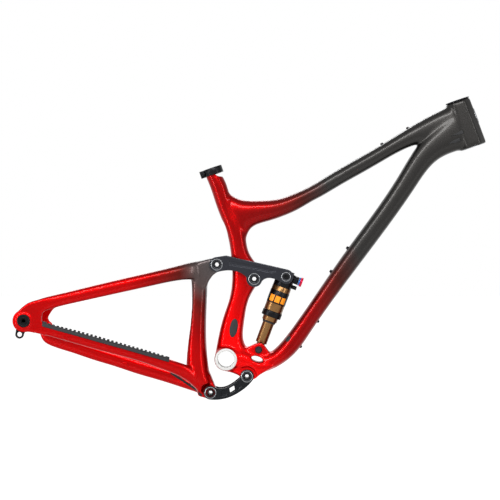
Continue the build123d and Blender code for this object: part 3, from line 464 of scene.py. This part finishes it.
front_moulded = moulded(
    "front_triangle", "front_frame",
    bores=[
        (SEAT_CLAMP, HEAD_AXIS, SEATPOST_R, SEAT_BORE_FROM, SEAT_BORE_TO),
        (HEAD_BOTTOM, HEAD_AXIS, HEADSET_LOWER_R, 0.0, HEADSET_DEPTH),
        (HEAD_BOTTOM, HEAD_AXIS, HEADSET_UPPER_R, HEAD_LENGTH - HEADSET_DEPTH, HEAD_LENGTH),
        hole_across(BOTTOM_BRACKET, SHELL_BORE_R, -SHELL_HALF, SHELL_HALF),
        hole_across(ROCKER, AXLE_R, -BOSS_HALF, BOSS_HALF),
        hole_across(LOWER_LINK, AXLE_R, -BOSS_HALF, BOSS_HALF),
    ],
    pockets=[
        (HEAD_BOTTOM, HEAD_AXIS, STEERER_ROOM_R, -PAST, HEAD_LENGTH + PAST),
        hole_across(LOWER_LINK, LINK_POCKET_R, -LINK_POCKET_END, -BOSS_HALF),
        hole_across(LOWER_LINK, LINK_POCKET_R, BOSS_HALF, LINK_POCKET_END),
    ] + [
        (SHOCK_FOOT + SHOCK_AXIS * rise, ACROSS, SHOCK_EYE_ROOM, -SHOCK_EYE_HALF, SHOCK_EYE_HALF)
        for rise in SHOCK_EYE_RISES
    ],
    blends=[((0.020, 0.300), 0.050), ((0.395, 0.440), 0.035), ((0.024, 0.004), 0.034),
            ((0.085, -0.012), 0.026), ((0.470, 0.500), 0.030), ((0.064, -0.043), 0.008)],
    crisp=[(SHOCK_LOWER, 0.026), ((0.505, 0.500), 0.045)],
    passes=(6, 48, 84),
)
rear_moulded = moulded(
    "rear_triangle", "rear_triangle",
    bores=[
        hole_across(ROCKER_REAR, AXLE_R, -BOSS_HALF, BOSS_HALF),
        hole_across(LOWER_REAR, AXLE_R, -BOSS_HALF, BOSS_HALF),
    ],
    pockets=[
        hole_across(REAR_AXLE, THRU_AXLE_R, -DROPOUT_PAST, DROPOUT_PAST),
        hole_across(REAR_AXLE, HANGER_NUT_R, -DROPOUT_PAST, -HANGER_NUT_FROM),
    ],
    blends=[((-0.055, 0.178), 0.030), ((-0.060, -0.050), 0.030)],
    crisp=[(REAR_AXLE, 0.040)],
    passes=(5, 34, 60),
)


# ---- The other CAD nodes: edges rounded with modifiers alone ----
WELD_REACH = 0.00002
EDGE_WIDTH = 0.0003
link_smoothing = {"upper_link": 4, "lower_link": 3}
for name, piece in nodes.items():
    if name in link_smoothing:
        remesh = piece.modifiers.new("rounded", "REMESH")
        remesh.mode = "VOXEL"
        remesh.voxel_size = LINK_VOXEL
        remesh.use_smooth_shade = True
        smooth = piece.modifiers.new("blended", "SMOOTH")
        smooth.factor = 0.5
        smooth.iterations = link_smoothing[name]
    elif name not in ("front_triangle", "rear_triangle"):
        for face in piece.data.polygons:
            face.use_smooth = True
        weld = piece.modifiers.new("joined", "WELD")
        weld.merge_threshold = WELD_REACH
        bevel = piece.modifiers.new("edges", "BEVEL")
        bevel.width = EDGE_WIDTH
        bevel.segments = 2
        bevel.limit_method = "ANGLE"
        bevel.angle_limit = math.radians(PIECE_CREASE)
        bevel.harden_normals = True


# ---- Small pieces that lie on a moulded surface ----
def surface_of(mesh):
    """A mesh as a tree that rays can be cast on."""
    return BVHTree.FromPolygons([v.co for v in mesh.vertices], [tuple(p.vertices) for p in mesh.polygons])


FRONT_SURFACE = surface_of(front_moulded.data)
REAR_SURFACE = surface_of(rear_moulded.data)


def hit_on(surface, start, direction, name):
    """Where a ray meets a surface."""
    hit = surface.ray_cast(start, direction)[0]
    if hit is None:
        raise RuntimeError(f"{name} misses its surface at {start}")
    return hit


def tilted(degrees):
    """A direction in the side view, in degrees from forward towards up."""
    return Vector((math.cos(math.radians(degrees)), 0, math.sin(math.radians(degrees))))


def oval(width, height, count=36):
    """Points of an oval outline."""
    angles = [2 * math.pi * step / count for step in range(count)]
    return [(width / 2 * math.cos(angle), height / 2 * math.sin(angle)) for angle in angles]


def edged(corners, steps=8):
    """Points along a closed outline given by its corners."""
    points = []
    for index, (u, v) in enumerate(corners):
        end_u, end_v = corners[(index + 1) % len(corners)]
        points += [(u + (end_u - u) * k / steps, v + (end_v - v) * k / steps) for k in range(steps)]
    return points


def patch(name, surface, centre, along, inward, outline, rise, look, body):
    """A thin shell that follows a surface: the outline is laid on it and stands proud by rise."""
    sink = 0.0006
    start_distance = 0.08
    along = Vector(along).normalized()
    inward = Vector(inward).normalized()
    upward = inward.cross(along)
    centre = Vector(centre)
    middle_u = sum(u for u, _ in outline) / len(outline)
    middle_v = sum(v for _, v in outline) / len(outline)
    levels = [(1.0, -sink), (0.985, rise * 0.55), (0.93, rise * 0.9),
              (0.75, rise), (0.45, rise), (0.1, rise)]
    vertices = []
    for scale, lift in levels:
        for u, v in outline:
            side = middle_u + (u - middle_u) * scale
            height = middle_v + (v - middle_v) * scale
            start = centre + along * side + upward * height - inward * start_distance
            vertices.append(hit_on(surface, start, inward, name) - inward * lift)
    count = len(outline)
    faces = quads_between(len(levels), count)
    faces.append(tuple(range(len(vertices) - count, len(vertices))))
    back = len(vertices)
    vertices += [vertices[step] + inward * sink for step in range(count)]
    faces += [(step, (step + 1) % count, back + (step + 1) % count, back + step) for step in range(count)]
    faces.append(tuple(range(back, back + count)))
    return new_piece(name, vertices, faces, look, body)


def strip(name, surface, path, width, rise, look, body, samples=40):
    """A thin raised band along a path of (x, z) points, on the drive side of a surface."""
    sink = 0.0005
    start_distance = 0.2
    points = [Vector((x, 0, z)) for x, z in path]
    lengths = [0.0]
    for index in range(len(points) - 1):
        lengths.append(lengths[-1] + (points[index + 1] - points[index]).length)
    vertices = []
    for step in range(samples + 1):
        target = lengths[-1] * step / samples
        leg = max(k for k in range(len(points) - 1) if lengths[k] <= target)
        share = (target - lengths[leg]) / (lengths[leg + 1] - lengths[leg])
        place = points[leg].lerp(points[leg + 1], share)
        ahead = (points[leg + 1] - points[leg]).normalized()
        sideways = ACROSS.cross(ahead).normalized()
        for offset, lift in ((-0.5, -sink), (-0.44, rise), (0.44, rise), (0.5, -sink)):
            start = place + sideways * offset * width - ACROSS * start_distance
            vertices.append(hit_on(surface, start, ACROSS, name) - ACROSS * lift)
    faces = quads_between(samples + 1, 4)
    faces.append((0, 1, 2, 3))
    faces.append(tuple(samples * 4 + k for k in (3, 2, 1, 0)))
    return new_piece(name, vertices, faces, look, body)


def bolt(name, surface, place, angle, radius, rise, look, body):
    """A button head with a round socket, on the surface at a place in the side view, facing at an angle."""
    start_distance = 0.02
    outward = tilted(angle)
    start = Vector((place[0], 0, place[1])) + outward * start_distance
    foot = hit_on(surface, start, -outward, name)
    profile = [(radius, -0.0015), (radius, 0.0005), (radius * 0.95, 0.0009), (radius * 0.72, 0.001),
               (radius * 0.70, rise * 0.7), (radius * 0.6, rise * 0.93), (radius * 0.42, rise),
               (radius * 0.40, rise - 0.0015)]
    vertices, faces = capped(foot, outward, profile)
    return new_piece(name, vertices, faces, look, body)


# name: place (x, z), angle, radius, rise
frame_bolts = {
    "bottle_bolt_upper": ((0.2596, 0.2359), 145, 0.0046, 0.0042),
    "bottle_bolt_lower": ((0.2247, 0.1857), 145, 0.0046, 0.0042),
    "top_tube_bolt_front": ((0.3877, 0.4903), 120, 0.0042, 0.0032),
    "top_tube_bolt_rear": ((0.3323, 0.4575), 120, 0.0042, 0.0032),
    "down_tube_plug_upper": ((0.1981, 0.0784), -35, 0.0038, 0.0030),
    "down_tube_plug_lower": ((0.1606, 0.0251), -35, 0.0038, 0.0030),
}
for name, (place, angle, radius, rise) in frame_bolts.items():
    bolt(name, FRONT_SURFACE, place, angle, radius, rise, BLACK, "front_frame")

SIDE_PORT_AXIS = (0.93, 0, 0.36)
UPPER_PORT = edged([(-0.014, -0.001), (0.013, -0.004), (0.013, 0.0035), (0.004, 0.0035)])
LOWER_PORT = edged([(-0.016, -0.001), (0.014, -0.0045), (0.014, 0.003), (0.004, 0.0035)])
# name: centre, direction of its length, outline, rise
frame_ports = {
    "seat_tube_plug": ((0.0164, -0.03, 0.0665), tilted(80.5), oval(0.040, 0.017), 0.0016),
    "down_tube_port": ((0.132, -0.03, 0.0432), tilted(55), oval(0.014, 0.008), 0.0008),
    "side_port_upper": ((0.491, -0.03, 0.4785), SIDE_PORT_AXIS, UPPER_PORT, 0.0022),
    "side_port_lower": ((0.484, -0.03, 0.4615), SIDE_PORT_AXIS, LOWER_PORT, 0.0022),
}
for name, (centre, along, outline, rise) in frame_ports.items():
    patch(name, FRONT_SURFACE, centre, along, ACROSS, outline, rise, PLASTIC, "front_frame")

strip("chain_suck_guard", REAR_SURFACE, [(-0.1193, -0.0313), (-0.066, -0.0654), (-0.0511, -0.0771)],
      0.0052, 0.0008, RUBBER, "rear_triangle")

head_forward = ACROSS.cross(HEAD_AXIS).normalized()
BADGE_HEIGHT = 0.062
badge_centre = HEAD_BOTTOM + HEAD_AXIS * BADGE_HEIGHT + head_forward * 0.05
patch("head_badge", FRONT_SURFACE, badge_centre, HEAD_AXIS, -head_forward, oval(0.034, 0.024), 0.0012, PLATE,
      "front_frame")

STAY_PORT_AXIS = (0.93, 0, -0.36)
stay_ports = {"stay_port_drive": (-0.3355, -0.03, 0.0463), "stay_port_other": (-0.218, 0.04, -0.014)}
for name, centre in stay_ports.items():
    patch(name, REAR_SURFACE, centre, STAY_PORT_AXIS, ACROSS, oval(0.016, 0.007),
          0.0022, REAR_PAINT, "rear_triangle")


# ---- Plain bars on the shock's band ----
def wrapped(name, foot, axis, radius, heights, turn, rise, look, body, steps=12):
    """A thin plate bent round a cylinder: heights along its axis, turn in degrees from the drive side."""
    axis = Vector(axis).normalized()
    facing = -ACROSS
    sideways = facing.cross(axis)
    low, high = heights
    vertices = []
    for step in range(steps + 1):
        angle = math.radians(turn[0] + (turn[1] - turn[0]) * step / steps)
        outward = facing * math.cos(angle) + sideways * math.sin(angle)
        for height, lift in ((low, -rise), (low, rise), (high, rise), (high, -rise)):
            vertices.append(foot + axis * height + outward * (radius + lift))
    faces = [(0, 1, 2, 3), tuple(steps * 4 + corner for corner in (3, 2, 1, 0))]
    faces += quads_between(steps + 1, 4)
    return new_piece(name, vertices, faces, look, body)


BAR_HEIGHTS = (0.107, 0.121)
band_bars = {"band_bar_left": (-52, -24), "band_bar_middle": (-16, 14), "band_bar_right": (22, 50)}
for name, turn in band_bars.items():
    wrapped(name, SHOCK_FOOT, SHOCK_AXIS, BAND_R, BAR_HEIGHTS, turn, 0.0003, ORANGE, "shock_body")


# ---- Socket of the shock mount's bolt ----
def socket(name, centre, radius, across_flats, depth, look, body, segments=48):
    """A flat ring with a hexagonal well, lying on the drive side of a bolt's face."""
    vertices = []
    rings = ((False, -0.0003), (False, 0.0006), (True, 0.0006), (True, -depth))
    for is_well, lift in rings:
        for step in range(segments):
            angle = 2 * math.pi * step / segments
            from_flat = (angle % (math.pi / 3)) - math.pi / 6
            reach = across_flats / 2 / math.cos(from_flat) if is_well else radius
            vertices.append(Vector((centre[0] + reach * math.cos(angle), centre[1] - lift,
                                    centre[2] + reach * math.sin(angle))))
    faces = quads_between(len(rings), segments)
    faces.append(tuple(range(segments)))
    faces.append(tuple(range(len(vertices) - segments, len(vertices))))
    return new_piece(name, vertices, faces, look, body)


MOUNT_BOLT_FACE = -0.0286
socket("shock_mount_socket", (SHOCK_LOWER[0], MOUNT_BOLT_FACE, SHOCK_LOWER[1]), 0.0058, 0.0050, 0.0002,
       DARK_STEEL, "front_frame")

# ---- Bright lips of the pivot bearings ----
LIP = 0.0010
LINK_LIP_R = 0.0122
SHOCK_LIP_R = 0.0098
LIP_SECTION = ((1.0, -0.0006), (1.0, 0.0003), (0.6, 0.0006), (0.2, 0.0004), (0.0, -0.0006))
pivots = {
    "rocker": (ROCKER, LINK_LIP_R, "upper_link"),
    "rocker_rear": (ROCKER_REAR, LINK_LIP_R, "upper_link"),
    "shock_top": (SHOCK_TOP, SHOCK_LIP_R, "upper_link"),
    "lower_link": (LOWER_LINK, LINK_LIP_R, "lower_link"),
    "lower_rear": (LOWER_REAR, LINK_LIP_R, "lower_link"),
}
for name, (place, radius, body) in pivots.items():
    for side, label in ((-1, "drive"), (1, "other")):
        profile = [(radius - LIP * inwards, height) for inwards, height in LIP_SECTION]
        vertices, faces = looped((place[0], side * LINK_OUTER, place[1]), (0, side, 0), profile)
        new_piece(f"{name}_lip_{label}", vertices, faces, STEEL, body)

# ---- Stage: floor, world, lamps, camera ----
FLOOR_DROP = 0.36
FLOOR_Z = cad_box[0][2] - FLOOR_DROP
FLOOR_HALF = 30.0
FLOOR_GLOW_NEAR = (0.8, 0.66)  # distance from the origin, strength
FLOOR_GLOW_FAR = (4.0, 0.92)
WORLD_LIGHT = 0.14
WHITE = (1, 1, 1, 1)


def seen_by(tree, first, *others):
    """1 for any of the named rays, 0 for all the rest."""
    path = add_node(tree, "ShaderNodeLightPath")
    seen = path.outputs[first]
    for ray in others:
        either = add_node(tree, "ShaderNodeMath", operation="MAXIMUM")
        tree.links.new(seen, either.inputs[0])
        tree.links.new(path.outputs[ray], either.inputs[1])
        seen = either.outputs[0]
    return seen


def stage_floor():
    """A pale floor that glows for the camera and for reflections only, and keeps the frame's shadow."""
    mesh = bpy.data.meshes.new("floor")
    corners = ((-1, -1), (1, -1), (1, 1), (-1, 1))
    mesh.from_pydata([(x * FLOOR_HALF, y * FLOOR_HALF, FLOOR_Z) for x, y in corners], [], [(0, 1, 2, 3)])
    floor = placed("floor", mesh)
    material, tree, shader = new_material("floor_pale", (0.85, 0.85, 0.85), 0.9)
    distance = add_node(tree, "ShaderNodeVectorMath", operation="LENGTH")
    tree.links.new(own_coordinates(tree), distance.inputs[0])
    (near_end, near_glow), (far_end, far_glow) = FLOOR_GLOW_NEAR, FLOOR_GLOW_FAR
    level = remap(tree, distance.outputs["Value"], near_glow, far_glow, near_end, far_end)
    glow = add_node(tree, "ShaderNodeMath", operation="MULTIPLY")
    tree.links.new(seen_by(tree, "Is Camera Ray", "Is Glossy Ray"), glow.inputs[0])
    tree.links.new(level, glow.inputs[1])
    shader.inputs["Emission Color"].default_value = WHITE
    tree.links.new(glow.outputs[0], shader.inputs["Emission Strength"])
    mesh.materials.append(material)


stage_floor()

world = bpy.data.worlds.new("studio")
bpy.context.scene.world = world
world.use_nodes = True
tree = world.node_tree
background = tree.nodes["Background"]
seen = seen_by(tree, "Is Camera Ray", "Is Glossy Ray", "Is Transmission Ray")
tree.links.new(remap(tree, seen, WORLD_LIGHT, 1.0), background.inputs["Strength"])
background.inputs["Color"].default_value = WHITE


def lamp(name, place, target, size, size_y, power):
    """A rectangular area lamp at a place, facing a target."""
    data = bpy.data.lights.new(name, "AREA")
    data.shape = "RECTANGLE"
    data.size = size
    data.size_y = size_y
    data.energy = power
    piece = placed(name, data)
    piece.location = place
    piece.rotation_euler = (Vector(target) - Vector(place)).to_track_quat("-Z", "Y").to_euler()


MIDDLE = (0.05, 0.0, 0.2)
lamp("strip_high", (-0.6, -2.6, 1.5), (-0.6, 0.0, 0.2), 3.4, 0.36, 90)
lamp("strip_left", (-2.5, -2.0, 0.5), MIDDLE, 0.34, 2.2, 42)
lamp("strip_right", (2.5, -2.2, 0.9), MIDDLE, 0.30, 2.0, 28)
lamp("strip_low", (0.3, -2.2, -1.1), MIDDLE, 3.0, 0.14, 9)
lamp("back", (0.2, 2.4, 2.0), MIDDLE, 2.5, 0.5, 40)

CAMERA_DISTANCE = 5.2
FIELD_WIDTH = 1.066
SENSOR_WIDTH = 36.0
VIEW_CENTRE = (0.051, 0.232)
camera_data = bpy.data.cameras.new("camera")
camera_data.sensor_width = SENSOR_WIDTH
camera_data.lens = SENSOR_WIDTH * CAMERA_DISTANCE / FIELD_WIDTH
camera = placed("camera", camera_data)
camera.location = (VIEW_CENTRE[0], -CAMERA_DISTANCE, VIEW_CENTRE[1])
camera.rotation_euler = (math.radians(90), 0, 0)
bpy.context.scene.camera = camera
bpy.context.scene.view_settings.view_transform = "Standard"
